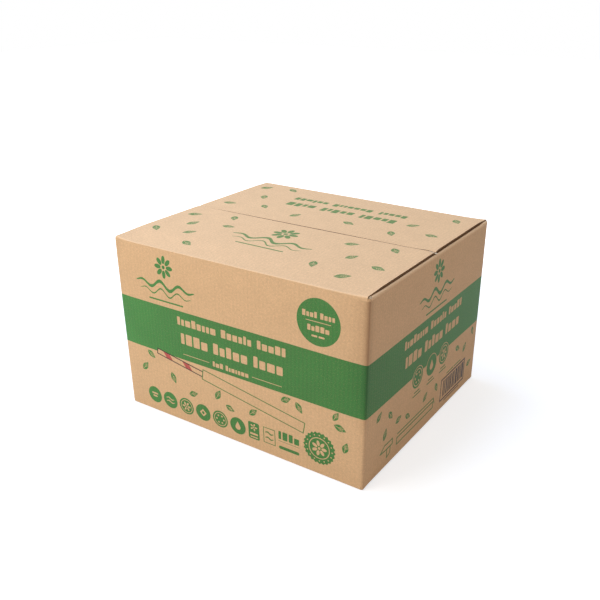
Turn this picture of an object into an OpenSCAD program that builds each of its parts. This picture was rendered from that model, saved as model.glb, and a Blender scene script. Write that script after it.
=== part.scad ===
// Closed shipping carton of corrugated board: one slotted and folded sheet
// whose two long top flaps open. It stands on its base with the long side to
// the front, and its origin is at the middle of the base.

/* [Carton] */
// Outside length, from the left end wall to the right one
carton_l = 437; // [400:1:600]
// Outside width, from the front wall to the back wall
carton_w = 385; // [250:1:395]
// Outside height of the closed carton
carton_h = 286; // [150:1:450]

/* [Board] */
// Thickness of the corrugated board
board_t = 3; // [2.4:0.1:4]
// Distance from one flute to the next
flute_pitch = 6.4; // [5:0.1:8]
// Thickness of each flat outer sheet of the board
liner_t = 0.4; // [0.25:0.05:0.5]
// Thickness of the wavy sheet between them
medium_t = 0.35; // [0.2:0.05:0.45]

/* [Folds] */
// Outside radius of the folds along the top and bottom edges
fold_r = 3; // [1.5:0.25:4]
// Outside radius of the upright folds at the corners
corner_r = 3; // [1.5:0.25:3.25]
// Gap between a moving flap's mitred root and its wall
fold_gap = 0.3; // [0.2:0.05:0.6]
// Length beside a flap's fold over which its flutes are crushed
crushed = 6; // [3:0.5:15]

/* [Flaps] */
// Room between a flap's side edge and the wall that it folds in beside
slot_clear = 0.5; // [0.3:0.1:3]
// How far each slot between two flaps is cut past their folds
slot_past = 0.5; // [0.2:0.1:3]
// Gap between the two long flaps where they meet
seam_gap = 1.2; // [0.4:0.1:4]
// Gap between the long top flaps and the short ones under them
flap_clear = 0.2; // [0.1:0.05:0.5]

/* [Glued seam] */
// Width of the tab that is glued to the inside of the back wall
tab_w = 38; // [25:1:60]
// How much shorter the tab's free edge is at each end than its root
tab_taper = 10; // [4:1:20]
// Gap between the tab's ends and the flaps above and below it
tab_end_gap = 2; // [1:0.5:6]

/* [Print] */
// Height of the coloured band's lower edge above the base
band_z = 112; // [30:1:120]
// Height of the coloured band
band_h = 80; // [20:1:100]
// Colour of the bare board
board_colour = "#d0a67c";
// Colour of the printed band
band_colour = "#4f9458";

/* [Hidden] */

// Straight pieces in the arc of each fold
arc_steps = 6;
// Overrun of a cut past the face that it opens
cut = 1;
// How far the stretches of the one sheet run into each other, so that they join
overlap = 0.05;
// Where the arc of a long top fold meets the mitre, halfway from wall to flap
mitre = 135;

half_l = carton_l / 2;
half_w = carton_w / 2;
// Every flap is cut half as deep as the carton is wide, so the long ones meet.
flap_depth = half_w;
// A flap's side edges lie in from the corners by the wall beside it and its room.
flap_inset = board_t + slot_clear;
long_flap_l = carton_l - 2 * flap_inset;
short_flap_l = carton_w - 2 * flap_inset;
// The short top flaps fold in first, one board below the long ones.
short_top_z = carton_h - board_t - flap_clear;
fold_reach = max(fold_r, board_t);
// The walls between the slots' ends
wall_low_z = board_t + fold_reach + slot_past;
wall_high_z = short_top_z - fold_reach - slot_past;
// Inner height of the carton, between its bottom flaps and short top flaps
floor_z = 2 * board_t;
ceiling_z = short_top_z - board_t;
// The flap's side of the mitre, moved away from the wall's side by fold_gap
flap_mitre = mitre - asin(fold_gap / sqrt(2) / fold_r);
// How far the wavy sheet's middle line swings, and where a flute closes
swing = board_t / 2 - liner_t - medium_t / 2;
slope_half = 0.7 * medium_t;
close_at = acos(-(board_t / 2 - liner_t - slope_half) / swing) / 360 * flute_pitch;

function arc(centre, r, from, to) = [
    for (i = [0 : arc_steps])
        let (a = from + (to - from) * i / arc_steps)
            centre + r * [cos(a), sin(a)]
];

// The open space between the wavy sheet and the liner above it, from the side.
// Height is measured from the board's lower face.
function flute_above() = [
    [-close_at, board_t - liner_t],
    [-flute_pitch / 4, board_t / 2 + slope_half],
    [0, liner_t + medium_t],
    [flute_pitch / 4, board_t / 2 + slope_half],
    [close_at, board_t - liner_t]
];

function flute_below() = [for (p = flute_above()) [p.x, board_t - p.y]];

// Cuts the open flutes into a board whose free edge is at y = 0 and whose
// lower face is at z = 0. They run towards -y.
module flutes(across, depth) {
    n = floor(across / flute_pitch / 2 - 0.5);
    translate([0, cut, 0]) rotate([90, 0, 0]) {
        for (i = [-n : n])
            translate([i * flute_pitch, 0]) linear_extrude(depth + cut)
                polygon(flute_above());
        for (i = [-n : n - 1])
            translate([(i + 0.5) * flute_pitch, 0]) linear_extrude(depth + cut)
                polygon(flute_below());
    }
}

// An outline drawn in y and z, as long as given along x
module along_x(length, points) {
    rotate([90, 0, 90]) linear_extrude(length, center = true) polygon(points);
}

// An outline drawn in x and z, as long as given along y
module along_y(length, points) {
    rotate([90, 0, 0]) linear_extrude(length, center = true) polygon(points);
}

// The walls' outline from above. The corner at the back left is lapped: the
// left wall folds into the glue tab there, and the back wall's edge ends on it.
module walls(from, to) {
    r = corner_r;
    outline = concat(
        arc([half_l - r, r - half_w], r, -90, 0),
        arc([half_l - r, half_w - r], r, 0, 90),
        [[r - half_l, half_w]],
        arc([r - half_l, half_w - board_t - r], r, 90, 180),
        arc([r - half_l, r - half_w], r, 180, 270)
    );
    // The inside, with the root of the tab standing in one corner
    a = half_l - board_t;
    b = half_w - board_t;
    inside = [[-a, -b], [a, -b], [a, b], [board_t - a, b],
        [board_t - a, b - board_t], [-a, b - board_t]];
    translate([0, 0, from]) linear_extrude(to - from) difference() {
        polygon(outline);
        polygon(inside);
    }
}

// The front wall's upper edge, mitred where the long flap turns on it
module long_wall_top() {
    along_x(long_flap_l, concat(
        [[-half_w, wall_high_z - overlap]],
        arc([fold_r - half_w, carton_h - fold_r], fold_r, 180, mitre),
        [[board_t - half_w, carton_h - board_t],
         [board_t - half_w, wall_high_z - overlap]]
    ));
}

// The front wall's lower edge with its long bottom flap
module long_bottom_flap() {
    along_x(long_flap_l, concat(
        [[board_t - half_w, wall_low_z + overlap],
         [-half_w, wall_low_z + overlap]],
        arc([fold_r - half_w, fold_r], fold_r, 180, 270),
        [[-seam_gap / 2, 0],
         [-seam_gap / 2, board_t],
         [board_t - half_w, board_t]]
    ));
}

// The right wall's upper edge with its short top flap, fold to free edge
module short_top_flap() {
    along_y(short_flap_l, concat(
        [[half_l - board_t, wall_high_z - overlap],
         [half_l, wall_high_z - overlap]],
        arc([half_l - fold_r, short_top_z - fold_r], fold_r, 0, 90),
        [[half_l - flap_depth, short_top_z],
         [half_l - flap_depth, ceiling_z],
         [half_l - board_t, ceiling_z]]
    ));
}

// The right wall's lower edge with its short bottom flap, on the long ones
module short_bottom_flap() {
    along_y(short_flap_l, concat(
        [[half_l - board_t, wall_low_z + overlap],
         [half_l - board_t, floor_z],
         [half_l - flap_depth, floor_z],
         [half_l - flap_depth, board_t]],
        arc([half_l - fold_r, board_t + fold_r], fold_r, -90, 0),
        [[half_l, wall_low_z + overlap]]
    ));
}

// The tab of the glued seam, on the inside of the back wall
module glue_tab() {
    root = board_t / 2 - half_l;
    edge = board_t + tab_w - half_l;
    low = floor_z + tab_end_gap;
    high = ceiling_z - tab_end_gap;
    translate([0, half_w - board_t * 3 / 2, 0]) along_y(board_t, [
        [root, low],
        [edge, low + tab_taper],
        [edge, high - tab_taper],
        [root, high]
    ]);
}

module both_ways(direction) {
    children();
    mirror(direction) children();
}

// The sheet's fixed part: walls, glued bottom, short top flaps and seam
module carton_body() {
    color(band_colour) walls(band_z, band_z + band_h);
    color(board_colour) {
        walls(wall_low_z, band_z + overlap);
        walls(band_z + band_h - overlap, wall_high_z);
        both_ways([0, 1, 0]) {
            long_wall_top();
            long_bottom_flap();
        }
        both_ways([1, 0, 0]) {
            short_top_flap();
            short_bottom_flap();
        }
        glue_tab();
    }
}

// A long top flap, closed, over the front half. The fold is mitred so that it
// opens upwards and outwards on the line of its outer edge.
module long_top_flap() {
    difference() {
        along_x(long_flap_l, concat(
            arc([fold_r - half_w, carton_h - fold_r], fold_r, 90, flap_mitre),
            [[board_t + fold_gap - half_w, carton_h - board_t],
             [-seam_gap / 2, carton_h - board_t],
             [-seam_gap / 2, carton_h]]
        ));
        translate([0, -seam_gap / 2, carton_h - board_t])
            flutes(long_flap_l, half_w - seam_gap / 2 - board_t - crushed);
    }
}

module front_top_flap() {
    color(board_colour) long_top_flap();
}

module back_top_flap() {
    color(board_colour) mirror([0, 1, 0]) long_top_flap();
}

carton_body();
front_top_flap();
back_top_flap();
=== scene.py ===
"""A printed shipping carton of corrugated board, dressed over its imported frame.

The board is built as what it is: an outer liner whose print is a part of its
mesh, a wavy sheet that shows at every cut edge, and an inner liner. All
lengths here are millimetres until a mesh is made from them.
"""
import math
import random

import bpy
from mathutils import Matrix, Vector, noise
from mathutils.geometry import delaunay_2d_cdt


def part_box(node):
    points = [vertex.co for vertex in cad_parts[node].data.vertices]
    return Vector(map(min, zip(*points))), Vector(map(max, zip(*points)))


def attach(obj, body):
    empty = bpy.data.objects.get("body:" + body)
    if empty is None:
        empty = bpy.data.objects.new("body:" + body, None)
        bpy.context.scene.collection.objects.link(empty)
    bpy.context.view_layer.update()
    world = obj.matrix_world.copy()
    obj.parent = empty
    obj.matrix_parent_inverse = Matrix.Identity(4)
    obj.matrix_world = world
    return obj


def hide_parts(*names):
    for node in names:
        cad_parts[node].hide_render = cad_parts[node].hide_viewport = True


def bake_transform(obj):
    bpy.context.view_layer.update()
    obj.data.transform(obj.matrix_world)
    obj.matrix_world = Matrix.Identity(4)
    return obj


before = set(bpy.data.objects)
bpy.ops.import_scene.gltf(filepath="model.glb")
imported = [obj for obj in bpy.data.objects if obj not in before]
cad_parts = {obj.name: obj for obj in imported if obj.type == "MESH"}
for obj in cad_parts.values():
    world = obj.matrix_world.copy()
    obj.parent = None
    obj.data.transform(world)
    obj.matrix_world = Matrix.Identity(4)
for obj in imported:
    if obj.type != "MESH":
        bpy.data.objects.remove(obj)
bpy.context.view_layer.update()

# Sizes that the frame gives
MM = 0.001
body_low, body_high = (Vector(corner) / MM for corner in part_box("carton_body"))
flap_low, flap_high = (Vector(corner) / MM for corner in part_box("front_top_flap"))
LENGTH = body_high.x - body_low.x
WIDTH = body_high.y - body_low.y
HEIGHT = flap_high.z
BOARD = flap_high.z - flap_low.z
INSET = (LENGTH - (flap_high.x - flap_low.x)) / 2
HALF_L = LENGTH / 2
HALF_W = WIDTH / 2

# Sizes of the board and its folds, as in the part but for the softer corners
FOLD_R = 3.0
CORNER_R = 4.8
SLOT_PAST = 0.5
FLAP_CLEAR = 0.2
PITCH = 6.4
LINER = 0.4
MEDIUM = 0.3
TAB_WIDTH = 38.0
TAB_TAPER = 10.0
TAB_END_GAP = 2.0
SHORT_TOP = HEIGHT - BOARD - FLAP_CLEAR
WALL_LOW = BOARD + max(FOLD_R, BOARD) + SLOT_PAST
WALL_HIGH = SHORT_TOP - max(FOLD_R, BOARD) - SLOT_PAST

# Length of a fold's outer side, and of the wall below a long bottom fold
ARC = math.pi / 2 * FOLD_R
LOW_RUN = WALL_LOW - FOLD_R

# Length of the crushed board past a long fold, before the flutes stand open
CREASE = 6.0
# Thinnest that the inner side of a fold gets
INNER_R = 0.25
# How far the torn top ends of the corners stand above the short flaps
TORN_RISE = 0.9
# Thickness of a torn strip of liner
STRIP = 0.18

# Spacing of the grid that lets a panel bow
GRID = 13.0
# Points of the print that lie closer together than this become one
MERGE = 0.004
# Edges of a mesh that turn by more than this are shaded sharp
SHARP = math.radians(38)

# Print, measured up from the base
BAND_LOW = 112.5
BAND_HIGH = 192.0

# Names of the board's skins, which are also the names of their materials
BARE = "kraft_face"
GREEN = "green_ink"
THIN_GREEN = "thin_green_ink"
BLACK = "black_ink"
RED = "red_ink"
INNER = "kraft_inside"
CUT = "cut_edge"
WAVY = "fluting"
TORN = "torn_fibre"
SKINS = [BARE, GREEN, THIN_GREEN, BLACK, RED, INNER, CUT, WAVY, TORN]


def spread(low, high, step):
    """Even places from low to high, about a step apart."""
    count = max(1, round((high - low) / step))
    return [low + (high - low) * i / count for i in range(count + 1)]


def near_ends(low, high, places):
    """A grid that is finer near its two ends, at the given distances from them."""
    middle = spread(low + places[-1], high - places[-1], GRID)[1:-1]
    return [low + p for p in places] + middle + [high - p for p in reversed(places)]


def smooth(t):
    """t kept from 0 to 1, with soft starts at both."""
    t = min(max(t, 0.0), 1.0)
    return t * t * (3 - 2 * t)


# Print shapes, each an ink and an outline in a panel's own millimetres
def turned(points, x, z, degrees=0.0):
    c = math.cos(math.radians(degrees))
    s = math.sin(math.radians(degrees))
    return [(x + c * a - s * b, z + s * a + c * b) for a, b in points]


def disc(ink, x, z, r, n=44):
    points = [(r * math.cos(math.tau * i / n), r * math.sin(math.tau * i / n)) for i in range(n)]
    return [(ink, turned(points, x, z))]


def ring(ink, ground, x, z, r, width):
    return disc(ink, x, z, r) + disc(ground, x, z, r - width)


def bar(ink, x0, x1, z0, z1, r=None):
    """A rectangle with round corners."""
    a = (x1 - x0) / 2
    b = (z1 - z0) / 2
    r = min(a, b) if r is None else r
    points = []
    for quarter, (sx, sz) in enumerate(((1, 1), (-1, 1), (-1, -1), (1, -1))):
        for i in range(5):
            angle = math.radians(90 * quarter + 22.5 * i)
            points.append((sx * (a - r) + r * math.cos(angle), sz * (b - r) + r * math.sin(angle)))
    return [(ink, turned(points, x0 + a, z0 + b))]


def words(ink, z0, z1, spans):
    """One plain bar over each span."""
    shapes = []
    for x0, x1 in spans:
        shapes += bar(ink, x0, x1, z0, z1, (z1 - z0) * 0.32)
    return shapes


def blocks(ink, z0, z1, spans):
    """A row of plain upright blocks over each span."""
    shapes = []
    tall = z1 - z0
    draw = random.Random(round(z0 + z1 + len(spans)))
    for x0, x1 in spans:
        # Whole blocks of uneven width fill each span
        count = max(1, round((x1 - x0) / (0.72 * tall)))
        widths = [draw.choice((0.7, 1.0, 1.25)) for _ in range(count)]
        gap = 0.17 * tall
        scale = (x1 - x0 - gap * (count - 1)) / sum(widths)
        x = x0
        for k, wide in enumerate(widths):
            top = z1 if k == 0 or draw.random() < 0.2 else z0 + 0.76 * tall
            shapes += bar(ink, x, x + wide * scale, z0, top, 0.09 * tall)
            x += wide * scale + gap
    return shapes


def line(ink, p, q, width):
    """A straight line with square ends, run on by half its width."""
    run = Vector(q) - Vector(p)
    along = run.normalized() * width / 2
    side = Vector((-along.y, along.x))
    a = Vector(p) - along
    b = Vector(q) + along
    return [(ink, [tuple(a - side), tuple(b - side), tuple(b + side), tuple(a + side)])]


def lines(ink, points, width, closed=True):
    shapes = []
    ends = points[1:] + points[:1] if closed else points[1:]
    for p, q in zip(points, ends):
        shapes += line(ink, p, q, width)
    return shapes


def leaf(ink, x, z, size, degrees):
    """A pointed leaf with a bare midrib and three pairs of side veins."""
    half = size * 0.52
    wide = size * 0.27
    edge = [(half * (i / 5 - 1), wide * math.sin(math.pi * (i / 10) ** 0.85)) for i in range(11)]
    outline = edge + [(a, -b) for a, b in reversed(edge[1:-1])]
    shapes = [(ink, turned(outline, x, z, degrees))]
    rib = [(-half * 0.8, 0.35), (-half * 0.8, -0.35), (half * 0.72, -0.1), (half * 0.72, 0.1)]
    shapes.append((BARE, turned(rib, x, z, degrees)))
    for at in (-0.28, 0.0, 0.26):
        for side in (1, -1):
            root = (at * half, 0.0)
            tip = ((at + 0.36) * half, side * wide * (0.78 - 0.5 * abs(at)))
            vein = line(BARE, root, tip, 0.5)[0][1]
            shapes.append((BARE, turned(vein, x, z, degrees)))
    return shapes


def rosette(ink, x, z, r, count):
    """Plain rounded petals about a middle dot."""
    shapes = []
    for i in range(count):
        angle = 360 * i / count
        petal = []
        for k in range(14):
            a = math.tau * k / 14
            petal.append((r * 0.64 + r * 0.36 * math.cos(a), r * 0.2 * math.sin(a)))
        shapes.append((ink, turned(petal, x, z, angle)))
    return shapes + disc(ink, x, z, r * 0.17, 20)


def scallop(ink, x, z, r, lobes):
    """A disc with a softly lobed rim."""
    points = []
    for i in range(lobes * 4):
        a = math.tau * i / (lobes * 4)
        reach = r * (1 - 0.045 * (1 - math.cos(lobes * a)))
        points.append((reach * math.cos(a), reach * math.sin(a)))
    return [(ink, turned(points, x, z))]


def ripple(ink, x0, x1, z, height, width, waves):
    """One long wave that swells and thins out again."""
    count = waves * 12
    upper, lower = [], []
    for i in range(count + 1):
        t = i / count
        swell = math.sin(math.pi * t) ** 0.6
        mid = z + height * swell * math.sin(math.tau * waves * t)
        half = width * (0.25 + 0.75 * swell) / 2
        x = x0 + (x1 - x0) * t
        upper.append((x, mid + half))
        lower.append((x, mid - half))
    return [(ink, lower + upper[::-1])]


def emblem(ink, x, z, width):
    """A plain flower over two waves and a short rule."""
    low, high = x - width / 2, x + width / 2
    inset = width * 0.06
    return (
        rosette(ink, x, z + width * 0.29, width * 0.155, 8)
        + ripple(ink, low, high, z + width * 0.03, width * 0.055, width * 0.05, 3)
        + ripple(ink, low + inset, high - inset, z - width * 0.07, width * 0.05, width * 0.022, 3)
        + bar(ink, x - width * 0.3, x + width * 0.3, z - width * 0.2, z - width * 0.178)
    )


def token(ink, ground, x, z, r, sign):
    """A small round badge with a plain sign, some with a thin ring."""
    shapes = disc(ink, x, z, r)
    if sign in ("flower", "dots"):
        shapes += ring(ground, ink, x, z, r * 0.82, r * 0.08)
    s = r * 0.46
    if sign == "bars":
        shapes += bar(ground, x - s, x + s, z + s * 0.15, z + s * 0.6)
        shapes += bar(ground, x - s * 0.7, x + s * 0.7, z - s * 0.6, z - s * 0.15)
    elif sign == "drop":
        drop = [(0, s * 1.2)] + [
            (s * 0.72 * math.cos(math.radians(a)), -s * 0.3 + s * 0.72 * math.sin(math.radians(a)))
            for a in range(150, 391, 20)
        ]
        shapes.append((ground, turned(drop, x, z)))
    elif sign == "flower":
        shapes += rosette(ground, x, z, s * 1.25, 6)
    elif sign == "diamond":
        shapes.append((ground, turned([(s, 0), (0, s), (-s, 0), (0, -s)], x, z)))
        shapes.append((ink, turned([(s / 2, 0), (0, s / 2), (-s / 2, 0), (0, -s / 2)], x, z)))
    elif sign == "dots":
        for k in range(6):
            a = math.tau * k / 6
            shapes += disc(ground, x + s * math.cos(a), z + s * math.sin(a), s * 0.24, 14)
    elif sign == "wave":
        for level in (z + s * 0.45, z - s * 0.45):
            shapes += ripple(ground, x - s * 1.3, x + s * 1.3, level, s * 0.3, s * 0.34, 1)
    return shapes


def wrapped_straw(x, z, degrees):
    """A striped straw that stands out of its long paper wrapper."""
    shapes = []
    bare_run, wrap_run = 91.0, 184.0
    straw_half, wrap_half = 4.4, 8.4
    pen = 1.7

    def put(items):
        return [(ink, turned(points, x, z, degrees)) for ink, points in items]

    straw = [(0, -straw_half), (bare_run, -straw_half), (bare_run, straw_half), (0, straw_half)]
    shapes += put([(BARE, straw)])
    for start in (11.0, 50.0):
        upper = [(start, straw_half), (start + 13, straw_half)]
        lower = [(start + 22, -straw_half), (start + 9, -straw_half)]
        shapes += put([(RED, upper + lower)])
    shapes += put(lines(BLACK, straw, pen))
    wrap = [
        (bare_run, -wrap_half),
        (bare_run + wrap_run, -wrap_half),
        (bare_run + wrap_run, wrap_half),
        (bare_run, wrap_half),
    ]
    return shapes + put([(BARE, wrap)]) + put(lines(GREEN, wrap, pen * 0.85))


def framed_bars(x0, x1, z0, z1):
    """Upright bars of random widths in a frame, which encode nothing."""
    pen = 2.8
    shapes = lines(BLACK, [(x0, z0), (x1, z0), (x1, z1), (x0, z1)], pen)
    draw = random.Random(4)
    low, high = z0 + 5, z1 - 4
    x = x0 + 8
    while x < x1 - 10:
        wide = draw.choice((3.2, 4.6, 7.0))
        shapes.append((BLACK, [(x, low), (x + wide, low), (x + wide, high), (x, high)]))
        x += wide + draw.choice((1.6, 2.3, 3.2))
    return shapes


def leaves(places, ink=GREEN):
    """A leaf at each place, given as x, z, its length and its turn."""
    shapes = []
    for x, z, size, degrees in places:
        shapes += leaf(ink, x, z, size, degrees)
    return shapes


def band_lines(middle):
    """Two lines of bars in the band, about its middle."""
    upper = [(-98, -25), (-15, 39), (49, 97)]
    lower = [(-93, -42), (-31, 31), (42, 92)]
    shapes = blocks(BARE, 169.5, 182.5, [(middle + a, middle + b) for a, b in upper])
    return shapes + blocks(BARE, 139.0, 156.5, [(middle + a, middle + b) for a, b in lower])


def front_print():
    """Measured from the left end and from the base, as on every wall."""
    shapes = emblem(GREEN, 97.6, 222.0, 113.0)
    shapes += disc(GREEN, 364.3, 234.5, 33.4, 72)
    shapes += blocks(BARE, 240.0, 248.5, [(339.5, 362), (367, 389)])
    shapes += line(BARE, (345.5, 235), (383, 235), 1.0)
    shapes += blocks(BARE, 221.0, 229.5, [(347.5, 381)])
    shapes += words(BARE, 213.0, 215.6, [(354, 363), (365, 374)])
    shapes += band_lines(215.4)
    shapes += line(BARE, (125, 122), (175, 122), 0.9)
    shapes += line(BARE, (254.5, 122), (305, 122), 0.9)
    shapes += blocks(BARE, 118.0, 126.5, [(182, 201), (206, 247.5)])
    shapes += wrapped_straw(71.0, 112.8, -9.3)
    # The row of small signs above the base
    signs = ("bars", "wave", "flower", "diamond", "dots", "drop")
    for k, sign in enumerate(signs):
        shapes += token(GREEN, BARE, 56.0 + 33.66 * k, 30.3, 14.5, sign)
    shapes += bar(GREEN, 244, 264, 17.5, 47, 3)
    shapes += bar(BARE, 247, 261, 25, 28.5, 1)
    shapes += bar(BARE, 247, 261, 20, 22, 1)
    shapes += rosette(BARE, 254, 38.5, 6.5, 5)
    shapes += lines(GREEN, [(272, 20), (292, 20), (292, 46), (272, 46)], 1.2)
    for z in (38, 29):
        shapes += ripple(GREEN, 274.5, 289.5, z, 1.8, 2.6, 1)
    shapes += blocks(GREEN, 35.5, 49.0, [(298.5, 334)])
    shapes += line(GREEN, (298.5, 32.2), (334, 32.2), 0.7)
    shapes += bar(GREEN, 298.5, 334, 18.5, 24.0)
    x, z = 367.5, 44.5
    shapes += scallop(GREEN, x, z, 26.5, 24)
    shapes += ring(BARE, GREEN, x, z, 17.2, 1.3)
    shapes += rosette(BARE, x, z, 12.5, 7)
    for k in range(16):
        a = math.tau * k / 16
        shapes += disc(BARE, x + 21 * math.cos(a), z + 21 * math.sin(a), 1.1, 12)
    return shapes + leaves([
        (41, 78, 19, 50), (57, 103, 18, -35), (101, 74, 19, -65), (140, 58, 18, 20),
        (189, 72, 19, 62), (211, 56, 17, -20), (254, 64, 18, 40), (312, 104, 18, 25),
        (334, 98, 18, -55), (400, 88, 19, -15), (393, 104, 16, 60), (409, 60, 18, 75),
    ])


def right_print():
    shapes = emblem(GREEN, 203.0, 222.0, 118.0)
    shapes += band_lines(203.0)
    for x, sign in ((154.0, "dots"), (201.0, "drop"), (245.5, "flower")):
        shapes += disc(BARE, x, 106.5, 18.4)
        shapes += token(GREEN, BARE, x, 106.5, 17.2, sign)
        shapes += words(GREEN, 82.2, 84.2, [(x - 9, x + 9)])
        shapes += words(GREEN, 77.0, 79.0, [(x - 13, x + 13)])
    pen = 2.1
    shapes += lines(GREEN, [(96, 23), (218, 23), (218, 34), (96, 34)], pen)
    shapes += lines(GREEN, [(98, 40), (218, 40), (223, 30)], pen, closed=False)
    shapes += lines(GREEN, [(46, 33), (58, 41), (82, 41), (82, 32), (58, 32)], pen)
    shapes += lines(GREEN, [(66, 32), (66, 17), (76, 21), (76, 32)], pen, closed=False)
    shapes += framed_bars(246, 339, 20, 58)
    shapes += words(GREEN, 62.5, 64.5, [(264, 290), (293, 320)])
    shapes += words(BLACK, 14.0, 15.8, [(262, 322)])
    return shapes + leaves([
        (38, 98, 18, 40), (72, 84, 18, -50), (58, 60, 19, 70), (98, 64, 18, 15),
        (128, 54, 17, -30), (186, 58, 18, 45), (226, 56, 18, -65), (302, 92, 18, -25),
        (332, 82, 18, 55), (362, 100, 17, -70), (358, 42, 18, 20),
    ])


def side_print(length):
    """A hidden wall keeps the band, which turns every corner, and plain leaves."""
    draw = random.Random(round(length))
    places = []
    for k in range(8):
        x = 30 + (length - 60) * (k + 0.5) / 8
        places.append((x, draw.uniform(40, 95), draw.uniform(17, 19), draw.uniform(-80, 80)))
    return leaves(places)


def front_flap_print():
    """Measured from the left end and from the front fold."""
    return emblem(THIN_GREEN, 212.0, 104.0, 142.0) + leaves([
        (30, 150, 23, 35), (96, 168, 22, -60), (58, 112, 23, 70), (116, 128, 21, 10),
        (28, 62, 22, -45), (84, 74, 21, 50), (112, 36, 21, -20), (318, 160, 22, 25),
        (384, 168, 22, -50), (346, 112, 21, 60), (398, 92, 23, -15), (316, 60, 22, -70),
        (372, 44, 23, 30),
    ], THIN_GREEN)


def back_flap_print():
    """Measured from the left end and from the back fold."""
    shapes = blocks(THIN_GREEN, 57.0, 71.0, [(111, 176), (188, 262), (276, 325)])
    shapes += blocks(THIN_GREEN, 87.0, 105.0, [(116, 170), (184, 244), (258, 321)])
    return shapes + leaves([
        (28, 34, 23, -50), (78, 24, 22, 30), (60, 88, 22, 65), (34, 150, 22, -20),
        (96, 136, 21, 45), (168, 150, 21, -60), (262, 140, 22, 15), (342, 150, 22, 60),
        (352, 96, 21, -35), (398, 128, 22, 10), (400, 40, 23, 55),
    ], THIN_GREEN)


def leaning(x, y, z):
    """The carton isn't quite square: its left end leans out at the top."""
    lean = 2.6 * (1 - z / 150) + 0.6 * smooth((z - 250) / 36)
    return x + lean * smooth((90 - HALF_L - x) / 90), y, z


class Board:
    """Closed sheets of board, gathered into one mesh."""

    def __init__(self):
        self.points = []
        self.uvs = []
        self.wear = []
        self.faces = []
        self.skins = []

    def add(self, us, vs, place, top, bottom, skins=(BARE, INNER, CUT), ink=(), wear=None):
        """A sheet between two depths under the place function's surface."""
        flat, faces, face_skins = inked_grid(us, vs, skins[0], ink)
        start = len(self.points)
        count = len(flat)
        for depth in (top, bottom):
            for u, v in flat:
                self.points.append(tuple(c * MM for c in leaning(*place(u, v, depth))))
                self.uvs.append((u * MM, v * MM))
                self.wear.append(wear(u, v) if wear else 0.0)
        sides = {}
        for face, skin in zip(faces, face_skins):
            self.faces.append([start + i for i in face])
            self.skins.append(skin)
            self.faces.append([start + count + i for i in reversed(face)])
            self.skins.append(skins[1])
            for i, j in zip(face, face[1:] + face[:1]):
                if sides.pop((j, i), None) is None:
                    sides[(i, j)] = True
        for i, j in sides:
            self.faces.append([start + j, start + i, start + count + i, start + count + j])
            self.skins.append(skins[2])

    def make(self, name):
        mesh = bpy.data.meshes.new(name)
        mesh.from_pydata(self.points, [], self.faces)
        for skin in SKINS:
            mesh.materials.append(MATERIALS[skin])
        mesh.polygons.foreach_set("material_index", [SKINS.index(s) for s in self.skins])
        layer = mesh.uv_layers.new(name="Board")
        corners = [c for loop in mesh.loops for c in self.uvs[loop.vertex_index]]
        layer.uv.foreach_set("vector", corners)
        # A mark per point: painted highlight and rubbed wear above 0, painted shade below 0
        painted_light = mesh.attributes.new("WearAndPaintedLight", "FLOAT", "POINT")
        painted_light.data.foreach_set("value", self.wear)
        mesh.shade_smooth()
        mesh.set_sharp_from_angle(angle=SHARP)
        mesh.validate()
        piece = bpy.data.objects.new(name, mesh)
        bpy.context.scene.collection.objects.link(piece)
        return piece


def area(outline):
    """Twice an outline's area, less than 0 where it runs clockwise."""
    ends = outline[1:] + outline[:1]
    return sum(a * d - c * b for (a, b), (c, d) in zip(outline, ends))


def inked_grid(us, vs, ground, ink):
    """A grid over us and vs, cut along the outlines of the print."""
    flat = [(u, v) for v in vs for u in us]
    wide = len(us)
    if not ink:
        faces = [
            [j * wide + i, j * wide + i + 1, (j + 1) * wide + i + 1, (j + 1) * wide + i]
            for j in range(len(vs) - 1)
            for i in range(wide - 1)
        ]
        return flat, faces, [ground] * len(faces)
    tall = len(vs)
    border = list(range(wide))
    border += [j * wide + wide - 1 for j in range(1, tall)]
    border += [(tall - 1) * wide + i for i in range(wide - 2, -1, -1)]
    border += [j * wide for j in range(tall - 2, 0, -1)]
    outlines = [border]
    names = [ground]
    for skin, outline in ink:
        if area(outline) < 0:
            outline = outline[::-1]
        outlines.append(list(range(len(flat), len(flat) + len(outline))))
        names.append(skin)
        flat = flat + list(outline)
    found = delaunay_2d_cdt([Vector(p) for p in flat], [], outlines, 0, MERGE, True)
    faces, skins = [], []
    for face, inside in zip(found[2], found[5]):
        if 0 in inside:
            faces.append(list(face))
            skins.append(names[max(inside)])
    return [tuple(p) for p in found[0]], faces, skins


def fold(v, depth, run):
    """A point of board that runs up a wall, turns a quarter and goes on level.

    It gives how far in from the wall's face, and how far above the level part.
    """
    if v <= run:
        return depth, v - run - FOLD_R
    if v >= run + ARC:
        return FOLD_R + v - run - ARC, -depth
    angle = (v - run) / FOLD_R
    reach = max(FOLD_R - depth, INNER_R)
    return FOLD_R - reach * math.cos(angle), reach * math.sin(angle) - FOLD_R


def fold_levels(run, end):
    """Places along a fold's path: close together in the arc, and wide apart past it."""
    past = run + ARC + 1.5
    return [0.0] + spread(run, run + ARC, ARC / 8) + spread(past, end, GRID)


def rough(u, v, size, seed):
    """Smooth unevenness from -1 to 1."""
    return noise.noise(Vector((u / size, v / size, seed)))


# The walls as one strip, from the glued corner round to the back wall's edge
QUARTER = math.pi / 2 * CORNER_R
LEFT_RUN = WIDTH - BOARD - 2 * CORNER_R
LONG_RUN = LENGTH - 2 * CORNER_R
RIGHT_RUN = WIDTH - 2 * CORNER_R
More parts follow.
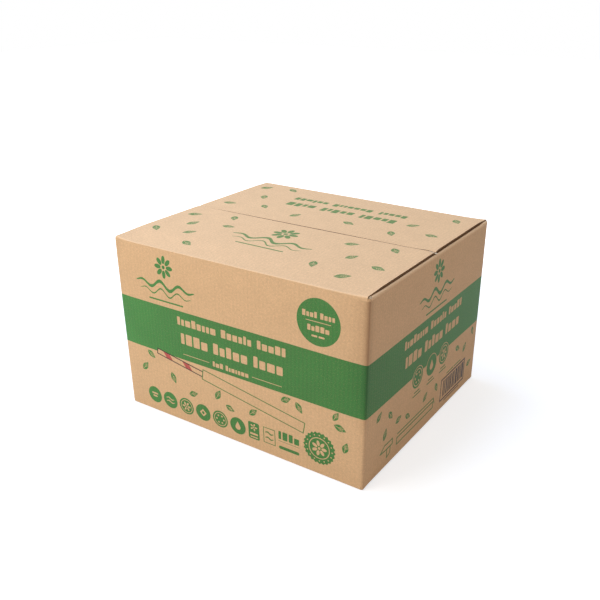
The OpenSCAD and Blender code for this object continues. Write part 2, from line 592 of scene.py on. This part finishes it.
# Each stretch with its start along the strip, its kind, its length, and the
# point and the angle that place it: a turn's centre, or a panel's first edge
STRETCHES = []
at = 0.0
for kind, length, data in (
    ("turn", QUARTER, (CORNER_R - HALF_L, HALF_W - BOARD - CORNER_R, 90)),
    ("flat", LEFT_RUN, (-HALF_L, HALF_W - BOARD - CORNER_R, 180)),
    ("turn", QUARTER, (CORNER_R - HALF_L, CORNER_R - HALF_W, 180)),
    ("flat", LONG_RUN, (CORNER_R - HALF_L, -HALF_W, 270)),
    ("turn", QUARTER, (HALF_L - CORNER_R, CORNER_R - HALF_W, 270)),
    ("flat", RIGHT_RUN, (HALF_L, CORNER_R - HALF_W, 0)),
    ("turn", QUARTER, (HALF_L - CORNER_R, HALF_W - CORNER_R, 0)),
    ("flat", LONG_RUN, (HALF_L - CORNER_R, HALF_W, 90)),
):
    STRETCHES.append((at, kind, length, data))
    at += length
PERIMETER = at
NEAR_CORNER = STRETCHES[4][0]
RIGHT_BACK_CORNER = STRETCHES[6][0]
LEFT_START, FRONT_START, RIGHT_START, BACK_START = (
    STRETCHES[k][0] - CORNER_R for k in (1, 3, 5, 7)
)


def wall_place(s, z, depth):
    for start, kind, length, (x, y, degrees) in STRETCHES:
        if s <= start + length + 1e-9:
            break
    along = s - start
    if kind == "turn":
        angle = math.radians(degrees) + along / CORNER_R
        reach = max(CORNER_R - depth, INNER_R)
        return x + reach * math.cos(angle), y + reach * math.sin(angle), z
    nx = math.cos(math.radians(degrees))
    ny = math.sin(math.radians(degrees))
    # The long panels swell out a little between their folds, as unevenly as
    # board does
    near = min(along, length - along)
    swell = (1.5 if length == LONG_RUN else 0.5) * (1 - math.exp(-near / 17))
    swell += 0.3 * rough(s, z, 90.0, 3.0) * smooth(near / 40)
    swell *= smooth((z - WALL_LOW) / 30) * smooth((WALL_HIGH - z) / 26)
    inward = depth - swell
    return x - ny * along - nx * inward, y + nx * along - ny * inward, z


def wall_painted_shade(s, z):
    """Painted shade where the board is scored at a corner, most near the top."""
    painted_light = 0.0
    for start, kind, length, _ in STRETCHES:
        if kind == "turn":
            off = s - start - length * 0.6
            crease_shade = 1 - abs(off) / 2.6
            close = math.exp(-((off / 8.5) ** 2))
            wide = math.exp(-((off / 22) ** 2))
            # The painted shade is darker on the panel before the corner than on the one past it
            here = max(crease_shade, 0.72 * close, 0.3 * wide) if off < 0 else max(crease_shade, 0.4 * close)
            # The painted shade is deepest at the corner between the front and the right wall
            painted_light = max(painted_light, here if start == NEAR_CORNER else 0.25 * here)
    return -painted_light * smooth((z - 72) / 90)


def moved(shapes, s0):
    """A wall's own print, put on the strip at s0."""
    return [(ink, [(s0 + x, z) for x, z in points]) for ink, points in shapes]


def wall_columns():
    columns = []
    for start, kind, length, _ in STRETCHES:
        if kind == "turn":
            columns += spread(start, start + length, length / 8)[:-1]
        else:
            columns += near_ends(start, start + length, (0, 1, 2, 3, 4.5, 6, 9, 14, 22, 32))
    return columns + [PERIMETER]


def build_corner_ends(board):
    """The corners' own ends, which close in between the flaps' folds."""
    # The stretch of each turn that no flap's end stands over
    clear = math.acos(1 - (INSET - 0.1) / CORNER_R) * CORNER_R
    draw = random.Random(7)
    for start, kind, length, _ in STRETCHES:
        if kind == "flat":
            continue
        columns = spread(start + length - clear, start + clear, length / 9)
        # The right back corner is crushed up a little at its foot
        foot = 2.2 if start == RIGHT_BACK_CORNER else 0.0
        for level, sign, torn in ((foot, -1, 0.0), (SHORT_TOP + TORN_RISE, 1, TORN_RISE)):
            rim = WALL_LOW if sign < 0 else WALL_HIGH
            run = abs(level - rim) - FOLD_R
            # The teeth of a torn rim, each about half a millimetre wide
            teeth = [draw.uniform(-torn, 0) for _ in range(12)]

            def place(u, v, depth):
                a, b = fold(v, depth, run)
                jag = teeth[int(u * 2.1) % len(teeth)]
                z = level + sign * b + jag * smooth(v / (run + ARC))
                return wall_place(u, z, a)

            rows = spread(0.0, run, 1.5)[:-1] + spread(run, run + 0.9 * ARC, ARC / 6)
            sheet = columns if sign > 0 else columns[::-1]
            board.add(sheet, rows, place, 0, BOARD, skins=(BARE, INNER, TORN))


def add_strip(board, place):
    """A torn strip of liner, from -1 to 1 across and from 0 to 1 along."""
    board.add([-1, 0, 1], [0, 0.35, 0.7, 1], place, 0, STRIP, skins=(TORN, TORN, TORN))


def build_tufts(board):
    """Torn liner that stands up out of the slots' ends at the right."""
    draw = random.Random(11)
    for sy, count in ((-1, 18), (1, 6)):
        for k in range(count):
            x = HALF_L - 0.8 - 0.7 * (k % 3)
            y = sy * (HALF_W - draw.uniform(1.4, 5.2))
            root = Vector((x, y, SHORT_TOP - 0.2))
            lean = draw.uniform(-0.4, 0.7), sy * draw.uniform(-0.4, 0.4)
            rise = Vector((*lean, draw.uniform(1.8, 3.2)))
            side = Vector((draw.uniform(-1, 1), draw.uniform(-1, 1), draw.uniform(-0.3, 0.3)))
            side.normalize()
            half = draw.uniform(0.4, 0.9)
            out = side.cross(rise).normalized()
            bow = draw.uniform(-0.5, 0.5)

            def place(u, v, depth):
                wide = u * half * (1 - 0.75 * v * v)
                return root + rise * v + side * wide + out * (bow * v * v - depth)

            add_strip(board, place)


def build_walls(board):
    band = [(0, BAND_LOW), (PERIMETER, BAND_LOW), (PERIMETER, BAND_HIGH), (0, BAND_HIGH)]
    ink = [(GREEN, band)]
    ink += moved(side_print(WIDTH), LEFT_START)
    ink += moved(front_print(), FRONT_START)
    ink += moved(right_print(), RIGHT_START)
    ink += moved(side_print(LENGTH), BACK_START)
    rows = spread(WALL_LOW, BAND_LOW, GRID)
    rows += spread(BAND_LOW, BAND_HIGH, GRID)[1:]
    rows += spread(BAND_HIGH, WALL_HIGH, GRID)[1:]
    board.add(wall_columns(), rows, wall_place, 0, BOARD, ink=ink, wear=wall_painted_shade)


def build_tab(board):
    """The glue tab, on the inside of the back wall."""
    low = 2 * BOARD + TAB_END_GAP
    high = SHORT_TOP - BOARD - TAB_END_GAP

    def place(u, v, depth):
        taper = TAB_TAPER * u / TAB_WIDTH
        z = low + taper + (high - low - 2 * taper) * v
        return u + BOARD - HALF_L, HALF_W - BOARD - depth, z

    board.add([TAB_WIDTH, TAB_WIDTH / 2, 0.0], [0.0, 0.5, 1.0], place, 0, BOARD)


def waved(place, liners):
    """The wavy sheet's place between the liners of a board."""
    swing = BOARD / 2 - liners - MEDIUM / 2

    def at_wave(u, v, depth):
        return place(u, v, BOARD / 2 + swing * math.cos(math.tau * u / PITCH) + depth)

    return at_wave


def fluted(board, us, vs, place, ink=()):
    """Board with its flutes open along the last edge and both sides."""
    # The wavy sheet ends a little short of the liners
    shy = 1.4
    board.add(us, vs, place, 0, LINER, ink=ink)
    board.add(us, vs, place, BOARD - LINER, BOARD, skins=(INNER, INNER, CUT))
    waves = spread(us[0] + shy, us[-1] - shy, PITCH / 10)
    rows = near_ends(vs[0], vs[-1] - shy / 4, (0, 3, 9, 20))
    board.add(waves, rows, waved(place, LINER), -MEDIUM / 2, MEDIUM / 2, (WAVY, WAVY, WAVY))


def half_turn(place):
    """The same on the opposite side of the carton."""
    def opposite(u, v, depth):
        x, y, z = place(u, v, depth)
        return -x, -y, z

    return opposite


# Halves of the flaps' lengths along their folds
SHORT_HALF = HALF_W - INSET
LONG_HALF = HALF_L - INSET


def short_top_place(u, v, depth):
    a, b = fold(v, depth, SLOT_PAST)
    sag = 0.25 * smooth((a - 20) / 120) * (1 + rough(u, v, 60, 8.0))
    # The fold stands up as a bead, and the flap dips behind it, but for its
    # corners, which are pressed up against the long flaps' crushed folds
    inner = smooth((SHORT_HALF - abs(u)) / 42)
    lift = (1.3 - 0.5 * inner) * (1 - smooth((a - 4) / 9)) * smooth(v / 3)
    dip = 2.3 * inner * smooth((a - 1.4) / 6) * (1 - smooth((a - 12) / 30))
    # The long flaps' sagging folds press its side edges down
    dip += 4.3 * (1 - smooth((SHORT_HALF - abs(u)) / 60)) * smooth((a - 9) / 22)
    return HALF_L - a, u, SHORT_TOP + b - sag + lift - dip


def bead_painted_highlight(u, v):
    """The bead along the short flap's fold is painted pale, as a highlight."""
    return max(0.0, 1.7 - abs(v - SLOT_PAST - ARC / 2) / 2.2)


def short_bottom_place(u, v, depth):
    a, b = fold(v, depth, SLOT_PAST)
    # The fold rolls down past the flap under it, most near the corners
    roll = 2.0 - 0.9 * smooth((SHORT_HALF - abs(u)) / 16)
    roll *= math.sin(math.pi * min(max(v / ARC, 0), 1))
    return HALF_L - a, -u, BOARD - b - roll * (1 - depth / BOARD)


def long_bottom_place(u, v, depth):
    a, b = fold(v, depth, LOW_RUN)
    return -u, a - HALF_W, -b


def build_short_flaps(board):
    end = SLOT_PAST + ARC + HALF_W - FOLD_R
    solid_end = SLOT_PAST + ARC + CREASE
    folded = fold_levels(SLOT_PAST, solid_end)
    level = spread(solid_end, end, GRID)
    us = near_ends(-SHORT_HALF, SHORT_HALF, (0, 2, 5, 9, 14))
    for place in (short_top_place, half_turn(short_top_place)):
        board.add(us, folded, place, 0, BOARD, wear=bead_painted_highlight)
        fluted(board, us, level, place)
    for place in (short_bottom_place, half_turn(short_bottom_place)):
        board.add(us, fold_levels(SLOT_PAST, end), place, 0, BOARD)


def build_long_bottom(board):
    end = LOW_RUN + ARC + HALF_W - FOLD_R - abs(flap_high.y)
    us = spread(-LONG_HALF, LONG_HALF, GRID)
    for place in (long_bottom_place, half_turn(long_bottom_place)):
        board.add(us, fold_levels(LOW_RUN, end), place, 0, BOARD)


# The long top flaps: a crease over the fold, and past it the fluted flap
LONG_RUN_UP = HEIGHT - FOLD_R - WALL_HIGH
CREASE_END = LONG_RUN_UP + ARC + CREASE
FLAP_END = LONG_RUN_UP + ARC + HALF_W - FOLD_R


def fold_wear_and_highlight(u, v):
    """The long folds are a little paler: rubbed wear and a painted highlight."""
    return max(0.0, 0.45 - abs(v - LONG_RUN_UP - ARC / 2) / 7.0)


def seam_gap(x):
    """The seam stands open in the middle and closes towards its ends."""
    closed, opened = 0.3, 1.6
    middle, reach = 5, 208
    return closed + opened * max(0.0, 1 - ((x - middle) / reach) ** 2)


def long_top_place(side):
    """side is 1 for the front flap and -1 for the back one, which is turned."""
    def place(u, v, depth):
        a, b = fold(v, depth, LONG_RUN_UP)
        to_side = LONG_HALF - abs(u)
        to_seam = FLAP_END - v
        past_fold = v - LONG_RUN_UP - ARC
        left = side * u < 0
        # The front flap's left corner is pressed down onto the wall
        pressed = side > 0 and left
        # The edge follows the seam's own gap, half of it on each flap
        a -= seam_gap(side * u) / 2 * smooth((40 - to_seam) / 40)
        # The board is pinched at the flap's corners: from below out from the
        # fold, and from above at the free ones
        ends = math.exp(-((to_side / 9) ** 2))
        by_fold = (1 - smooth(past_fold / 52)) * smooth((v - LONG_RUN_UP) / ARC)
        by_seam = 1 - smooth(to_seam / 9)
        drop = (0.7 if left else 1.7) * ends * by_seam * (1 - depth / BOARD)
        drop -= (2.0 if pressed else 1.5) * ends * by_fold * depth / BOARD
        # The level part is as uneven as board is
        drop += 0.12 * smooth((v - CREASE_END) / 30) * (1 + rough(u, v, 70, 5.0 + side))
        # The fold sags between its ends, and the side edges spring up past it
        inner = max(1 - math.exp(-to_side / 15), 0.22 if pressed else 0.0)
        sag = 3.45 - 1.15 * u / LONG_HALF if side > 0 else 0.8 - 0.8 * u / LONG_HALF
        drop += sag * inner * smooth(v / (LONG_RUN_UP + ARC)) * (1 - smooth(past_fold / 60))
        spring = 0.8 if left else 1.1 if side > 0 else 1.9
        rise = smooth((v - CREASE_END) / (60 if pressed else 26))
        drop -= spring * math.exp(-((to_side / 24) ** 2)) * rise
        return side * u, side * (a - HALF_W), HEIGHT + b - drop

    return place


def build_torn_end(board, place):
    """Torn liner at the seam's right end: across the seam, and over the slot beside it."""
    draw = random.Random(5)
    across = [(LONG_HALF - 1.5 - 2.3 * k, FLAP_END - 0.8, 0.0, 1.0) for k in range(4)]
    over = [(LONG_HALF - 3.0, FLAP_END - 2.2 + 0.9 * k, 1.0, 0.0) for k in range(5)]
    for root_u, root_v, du, dv in across + over:
        half = draw.uniform(0.6, 1.1)
        reach = draw.uniform(1.7, 2.9) + 3.5 * du
        fall = 1.9 * du - 0.4

        def strip(u, v, depth):
            off = u * half * (1 - 0.5 * v * v)
            along = reach * v
            at_u = root_u + du * along + dv * off
            at_v = root_v + dv * along - du * off
            return place(at_u, at_v, depth - 0.1 + fall * v * v)

        add_strip(board, strip)


def build_long_flap(side, ink):
    place = long_top_place(side)
    us = near_ends(-LONG_HALF, LONG_HALF, (0, 1.5, 3, 5, 8, 12, 17, 25, 34))
    folded = spread(0.0, LONG_RUN_UP, 1.2)[:-1]
    folded += spread(LONG_RUN_UP, LONG_RUN_UP + ARC, ARC / 10)
    folded += spread(LONG_RUN_UP + ARC, CREASE_END, 1.2)[1:]
    crease = Board()
    crease.add(us, folded, place, 0, BOARD, wear=fold_wear_and_highlight)
    flap = Board()
    # Print is measured from the left end and from the fold, and u is turned
    drawn = [
        (skin, [(side * (x - HALF_L), LONG_RUN_UP + ARC - FOLD_R + y) for x, y in points][::side])
        for skin, points in ink
    ]
    level = near_ends(CREASE_END, FLAP_END, (0, 2, 5, 9))
    fluted(flap, us, level, place, ink=drawn)
    if side > 0:
        build_torn_end(flap, place)
    return crease, flap


# Materials
def new_material(name):
    material = bpy.data.materials.new(name)
    material.use_nodes = True
    tree = material.node_tree
    tree.nodes.clear()
    out = tree.nodes.new("ShaderNodeOutputMaterial")
    shader = tree.nodes.new("ShaderNodeBsdfPrincipled")
    tree.links.new(shader.outputs["BSDF"], out.inputs["Surface"])
    return material, tree, shader


def math_node(tree, kind, a, b):
    """One calculation on two values, each a number or another node's output."""
    node = tree.nodes.new("ShaderNodeMath")
    node.operation = kind
    for socket, value in zip(node.inputs, (a, b)):
        if hasattr(value, "is_output"):
            tree.links.new(value, socket)
        else:
            socket.default_value = value
    return node.outputs[0]


def noise_node(tree, where, scale, detail, roughness):
    node = tree.nodes.new("ShaderNodeTexNoise")
    node.inputs["Scale"].default_value = scale
    node.inputs["Detail"].default_value = detail
    node.inputs["Roughness"].default_value = roughness
    tree.links.new(where, node.inputs["Vector"])
    return node.outputs["Fac"]


def stretched(tree, where, scale):
    node = tree.nodes.new("ShaderNodeMapping")
    node.inputs["Scale"].default_value = scale
    tree.links.new(where, node.inputs["Vector"])
    return node.outputs["Vector"]


def ramp(tree, value, low, high):
    """value taken from 0 at low to 1 at high."""
    node = tree.nodes.new("ShaderNodeMapRange")
    node.interpolation_type = "SMOOTHSTEP"
    node.inputs["From Min"].default_value = low
    node.inputs["From Max"].default_value = high
    tree.links.new(value, node.inputs["Value"])
    return node.outputs["Result"]


def blend_colour(tree, share, a, b):
    """Colour a at a share of 0, and colour b at 1."""
    node = tree.nodes.new("ShaderNodeMix")
    node.data_type = "RGBA"
    if hasattr(share, "is_output"):
        tree.links.new(share, node.inputs[0])
    else:
        node.inputs[0].default_value = share
    for socket, value in ((node.inputs[6], a), (node.inputs[7], b)):
        if hasattr(value, "is_output"):
            tree.links.new(value, socket)
        else:
            socket.default_value = (*value, 1.0)
    return node.outputs[2]


def linear(r, g, b):
    """An sRGB colour from 0 to 255 as the linear one that a shader takes."""
    def channel(c):
        c /= 255
        return c / 12.92 if c <= 0.04045 else ((c + 0.055) / 1.055) ** 2.4

    return channel(r), channel(g), channel(b)


KRAFT = linear(215, 173, 126)
KRAFT_FLECK = linear(170, 126, 84)
# Paler kraft for rubbed folds and painted highlights, and darker kraft for painted shade in the
# scores
KRAFT_RUBBED_AND_LIT = linear(241, 206, 160)
KRAFT_SCORE_SHADE = linear(138, 98, 62)


def scaled(colour, factor):
    return tuple(min(1.0, c * factor) for c in colour)


def along_board(tree, where):
    """The distance along a sheet, in metres."""
    parts = tree.nodes.new("ShaderNodeSeparateXYZ")
    tree.links.new(where, parts.inputs[0])
    return parts.outputs[0]


def add_bump(tree, shader, height, strength, distance):
    bump = tree.nodes.new("ShaderNodeBump")
    bump.inputs["Strength"].default_value = strength
    bump.inputs["Distance"].default_value = distance
    tree.links.new(height, bump.inputs["Height"])
    tree.links.new(bump.outputs["Normal"], shader.inputs["Normal"])


def flute_stripes(tree, where):
    """1 over each flute's crest and 0 between them."""
    turns = math_node(tree, "MULTIPLY", along_board(tree, where), math.tau / (PITCH * MM))
    wave = math_node(tree, "COSINE", turns, 0.0)
    return math_node(tree, "MULTIPLY_ADD", wave, 0.5)


def board_surface(tree, shader, colour, washboard=1.0):
    """Kraft paper: pulp clouds, fibres, dark flecks and a faint washboard."""
    where = tree.nodes.new("ShaderNodeUVMap")
    where.uv_map = "Board"
    where = where.outputs["UV"]
    clouds = noise_node(tree, where, 38.0, 4.0, 0.6)
    speckle = noise_node(tree, where, 310.0, 2.0, 0.6)
    fibres = noise_node(tree, stretched(tree, where, (700, 1500, 700)), 1.0, 4.0, 0.7)
    grain = noise_node(tree, where, 900.0, 3.0, 0.65)
    spots = noise_node(tree, stretched(tree, where, (1.0, 1.7, 1.0)), 520.0, 2.0, 0.5)
    pale = tuple(min(1.0, c * 1.13 + 0.003) for c in colour)
    deep = scaled(colour, 0.88)
    uneven = math_node(tree, "MULTIPLY_ADD", clouds, 0.3)
    tree.links.new(math_node(tree, "MULTIPLY", speckle, 0.7), uneven.node.inputs[2])
    mixed = blend_colour(tree, ramp(tree, uneven, 0.34, 0.66), deep, pale)
    mixed = blend_colour(tree, ramp(tree, grain, 0.38, 0.64), mixed, scaled(colour, 0.86))
    mixed = blend_colour(tree, ramp(tree, spots, 0.66, 0.74), mixed, KRAFT_FLECK)
    mixed = blend_colour(tree, ramp(tree, fibres, 0.6, 0.8), mixed, scaled(colour, 1.2))
    shader.inputs["Roughness"].default_value = 0.7
    shader.inputs["Specular IOR Level"].default_value = 0.35
    wash = flute_stripes(tree, where)
    height = math_node(tree, "MULTIPLY", grain, 0.35)
    height = math_node(tree, "ADD", height, math_node(tree, "MULTIPLY", fibres, 0.4))
    height = math_node(tree, "ADD", height, math_node(tree, "MULTIPLY", wash, 0.8 * washboard))
    add_bump(tree, shader, height, strength=0.5, distance=0.12 * MM)
    return mixed, where, wash, grain


def wear_highlight_and_shade(tree, colour, grain, rubbed_and_lit, share, score_shade):
    """Rubbed wear and painted highlight where the mesh's mark is above 0, and painted shade in its
    scores where it is below.
    """
    wear = tree.nodes.new("ShaderNodeAttribute")
    wear.attribute_name = "WearAndPaintedLight"
    patchy = math_node(tree, "MULTIPLY", wear.outputs["Fac"], ramp(tree, grain, 0.3, 0.62))
    light = math_node(tree, "MAXIMUM", math_node(tree, "MULTIPLY", patchy, share), 0.0)
    dark = math_node(tree, "MAXIMUM", math_node(tree, "MULTIPLY", wear.outputs["Fac"], -0.8), 0.0)
    lightened = blend_colour(tree, light, colour, rubbed_and_lit)
    return blend_colour(tree, dark, lightened, score_shade)


def kraft_material(name, colour, rubbed_and_lit_share):
    """Bare board, with painted shade of the washboard: a little darker over the flutes' crests."""
    material, tree, shader = new_material(name)
    mixed, _, wash, grain = board_surface(tree, shader, colour)
    mixed = blend_colour(tree, math_node(tree, "MULTIPLY", wash, 0.09), mixed, scaled(colour, 0.6))
    # Rubbed wear and painted highlight on the folds, painted shade in the corner scores
    mixed = wear_highlight_and_shade(tree, mixed, grain, KRAFT_RUBBED_AND_LIT, rubbed_and_lit_share, KRAFT_SCORE_SHADE)
    tree.links.new(mixed, shader.inputs["Base Color"])
    return material


def ink_painted_light(tree, where):
    """How much the ink is darkened: least at the front's left end, as a painted sheen there, and
    most past the near corner, as painted shade.
    """
    along = along_board(tree, where)
    darkening = 0.0
    for low, high, share in (
        (FRONT_START, FRONT_START + 200, 0.17),
        (RIGHT_START - 2, RIGHT_START + 4, 0.14),
        (RIGHT_START + 50, RIGHT_START + 350, -0.06),
    ):
        step = math_node(tree, "MULTIPLY", ramp(tree, along, low * MM, high * MM), share)
        darkening = math_node(tree, "ADD", darkening, step)
    return darkening


def ink_material(name, colour, cover, uneven=False):
    """Ink on kraft: thin over the grain, and darker over the flutes' crests."""
    material, tree, shader = new_material(name)
    mixed, where, wash, grain = board_surface(tree, shader, KRAFT, washboard=1.4)
    thin = noise_node(tree, where, 620.0, 3.0, 0.7)
    cloudy = noise_node(tree, where, 24.0, 3.0, 0.5)
    skip = math_node(tree, "MULTIPLY", ramp(tree, thin, 0.48, 0.72), 0.17)
    cover_left = math_node(tree, "SUBTRACT", cover, skip)
    tone = blend_colour(tree, ramp(tree, cloudy, 0.35, 0.65), colour, scaled(colour, 0.93))
    tone = blend_colour(tree, math_node(tree, "MULTIPLY", wash, 0.28), tone, scaled(colour, 0.55))
    # Painted sheen at the front's left end and painted shade past the near corner
    if uneven:
        tone = blend_colour(tree, ink_painted_light(tree, where), tone, (0, 0, 0))
    mixed = blend_colour(tree, cover_left, mixed, tone)
    # Ink turns paler toward kraft where the mark is above 0, and darker as painted shade in the
    # corner scores
    rubbed_and_lit = tuple(0.6 * c + 0.4 * k for c, k in zip(colour, KRAFT))
    mixed = wear_highlight_and_shade(tree, mixed, grain, rubbed_and_lit, 0.35, scaled(colour, 0.3))
    tree.links.new(mixed, shader.inputs["Base Color"])
    shader.inputs["Roughness"].default_value = 0.6
    shader.inputs["Specular IOR Level"].default_value = 0.3
    return material


def edge_material(name, colour):
    """A cut or torn edge: short fibres that stand up and shade each other."""
    material, tree, shader = new_material(name)
    place = tree.nodes.new("ShaderNodeTexCoord").outputs["Object"]
    fuzz = noise_node(tree, place, 1400.0, 4.0, 0.7)
    mixed = blend_colour(tree, ramp(tree, fuzz, 0.35, 0.68), scaled(colour, 0.6), colour)
    tree.links.new(mixed, shader.inputs["Base Color"])
    shader.inputs["Roughness"].default_value = 0.9
    shader.inputs["Specular IOR Level"].default_value = 0.2
    add_bump(tree, shader, fuzz, strength=0.8, distance=0.3 * MM)
    return material


MATERIALS = {
    BARE: kraft_material(BARE, KRAFT, 0.55),
    INNER: kraft_material(INNER, linear(196, 154, 113), 0.2),
    GREEN: ink_material(GREEN, linear(46, 126, 50), 0.97, uneven=True),
    THIN_GREEN: ink_material(THIN_GREEN, linear(40, 110, 36), 0.88),
    BLACK: ink_material(BLACK, linear(30, 21, 18), 0.98),
    RED: ink_material(RED, linear(176, 52, 58), 0.9),
    # Cut edges and fluting are darker than the board: partly their own colour, partly painted
    # shade of the open flutes
    CUT: edge_material(CUT, linear(102, 68, 42)),
    WAVY: edge_material(WAVY, linear(88, 57, 35)),
    TORN: edge_material(TORN, linear(246, 222, 188)),
}

# The pieces
shell = Board()
build_walls(shell)
build_corner_ends(shell)
build_tufts(shell)
build_tab(shell)
build_short_flaps(shell)
build_long_bottom(shell)
shell = shell.make("folded_carton_board")
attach(shell, "carton")
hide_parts("carton_body")

for side, word, printed in ((1, "front", front_flap_print()), (-1, "back", back_flap_print())):
    crease, flap = build_long_flap(side, printed)
    flap = flap.make(word + "_flap_board")
    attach(flap, word + "_flap")
    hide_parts(word + "_top_flap")
    crease = crease.make(word + "_flap_crease")
    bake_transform(crease)


# Camera, solved from the carton's seven visible corners in the photograph
PHOTO_PIXELS = 600
FOCAL_PIXELS = 748.7
CENTRE_ROW = 320.0
AZIMUTH = math.radians(34.019)
ELEVATION = math.radians(24.458)
ROLL = math.radians(-0.164)
CAMERA_PLACE = Vector((0.6124, -0.9269, 0.6335))

back = Vector((
    math.sin(AZIMUTH) * math.cos(ELEVATION),
    -math.cos(AZIMUTH) * math.cos(ELEVATION),
    math.sin(ELEVATION),
))
level_right = Vector((0, 0, 1)).cross(back).normalized()
level_up = back.cross(level_right)
right = level_right * math.cos(ROLL) + level_up * math.sin(ROLL)
up = back.cross(right)
camera = bpy.data.cameras.new("camera")
camera.sensor_width = 36.0
camera.lens = FOCAL_PIXELS / PHOTO_PIXELS * camera.sensor_width
camera.shift_y = (CENTRE_ROW - PHOTO_PIXELS / 2) / PHOTO_PIXELS
camera.clip_end = 50.0
viewer = bpy.data.objects.new("camera", camera)
facing = Matrix((right, up, back)).transposed().to_4x4()
viewer.matrix_world = Matrix.Translation(CAMERA_PLACE) @ facing
bpy.context.scene.collection.objects.link(viewer)
bpy.context.scene.camera = viewer


# Floor, lamps and world
def seen_white(tree):
    """1 for what looks at the backdrop, and 0 for what only lights the carton."""
    path = tree.nodes.new("ShaderNodeLightPath")
    seen = math_node(tree, "MAXIMUM", path.outputs["Is Camera Ray"], path.outputs["Is Glossy Ray"])
    return math_node(tree, "MAXIMUM", seen, path.outputs["Is Transmission Ray"])


def build_floor():
    """A pale floor that keeps the shadow and goes to white for the camera."""
    half = 6.0
    corners = [(-half, -half, 0), (half, -half, 0), (half, half, 0), (-half, half, 0)]
    mesh = bpy.data.meshes.new("floor")
    mesh.from_pydata(corners, [], [(0, 1, 2, 3)])
    material, tree, shader = new_material("floor")
    shader.inputs["Base Color"].default_value = (0.5, 0.5, 0.5, 1)
    shader.inputs["Roughness"].default_value = 0.9
    shader.inputs["Specular IOR Level"].default_value = 0.1
    shader.inputs["Emission Color"].default_value = (1, 1, 1, 1)
    # What looks at the floor sees it white, but for the soft shadow by the carton
    place = tree.nodes.new("ShaderNodeTexCoord").outputs["Object"]
    away = tree.nodes.new("ShaderNodeVectorMath")
    away.operation = "LENGTH"
    tree.links.new(place, away.inputs[0])
    white = math_node(tree, "MULTIPLY", ramp(tree, away.outputs["Value"], 0.35, 1.0), 0.5)
    glow = math_node(tree, "MULTIPLY", seen_white(tree), math_node(tree, "ADD", white, 0.66))
    tree.links.new(glow, shader.inputs["Emission Strength"])
    mesh.materials.append(material)
    floor = bpy.data.objects.new("floor", mesh)
    bpy.context.scene.collection.objects.link(floor)


def lamp(name, place, size, watts, colour):
    """A round lamp that looks at the carton's middle."""
    light = bpy.data.lights.new(name, "AREA")
    light.shape = "DISK"
    light.size = size
    light.energy = watts
    light.color = colour
    holder = bpy.data.objects.new(name, light)
    aim = Vector((0, 0, 0.14)) - Vector(place)
    holder.location = place
    holder.rotation_euler = aim.to_track_quat("-Z", "Y").to_euler()
    bpy.context.scene.collection.objects.link(holder)


def build_world():
    world = bpy.data.worlds.new("world")
    bpy.context.scene.world = world
    world.use_nodes = True
    tree = world.node_tree
    tree.nodes.clear()
    out = tree.nodes.new("ShaderNodeOutputWorld")
    fill = tree.nodes.new("ShaderNodeBackground")
    fill.inputs["Color"].default_value = (1, 1, 1, 1)
    ambient = 0.5
    seen = math_node(tree, "MULTIPLY", seen_white(tree), 1 - ambient)
    tree.links.new(math_node(tree, "ADD", seen, ambient), fill.inputs["Strength"])
    tree.links.new(fill.outputs[0], out.inputs[0])


build_floor()
build_world()
lamp("key", (-0.9, -1.75, 1.0), size=1.3, watts=23.4, colour=(1.0, 0.985, 0.95))
lamp("top", (-0.55, -0.1, 1.7), size=1.2, watts=28.8, colour=(0.476, 0.65, 1.0))
lamp("side", (2.2, -1.2, 0.9), size=1.5, watts=4.5, colour=(1.0, 0.6, 0.65))
bpy.context.scene.view_settings.view_transform = "Standard"
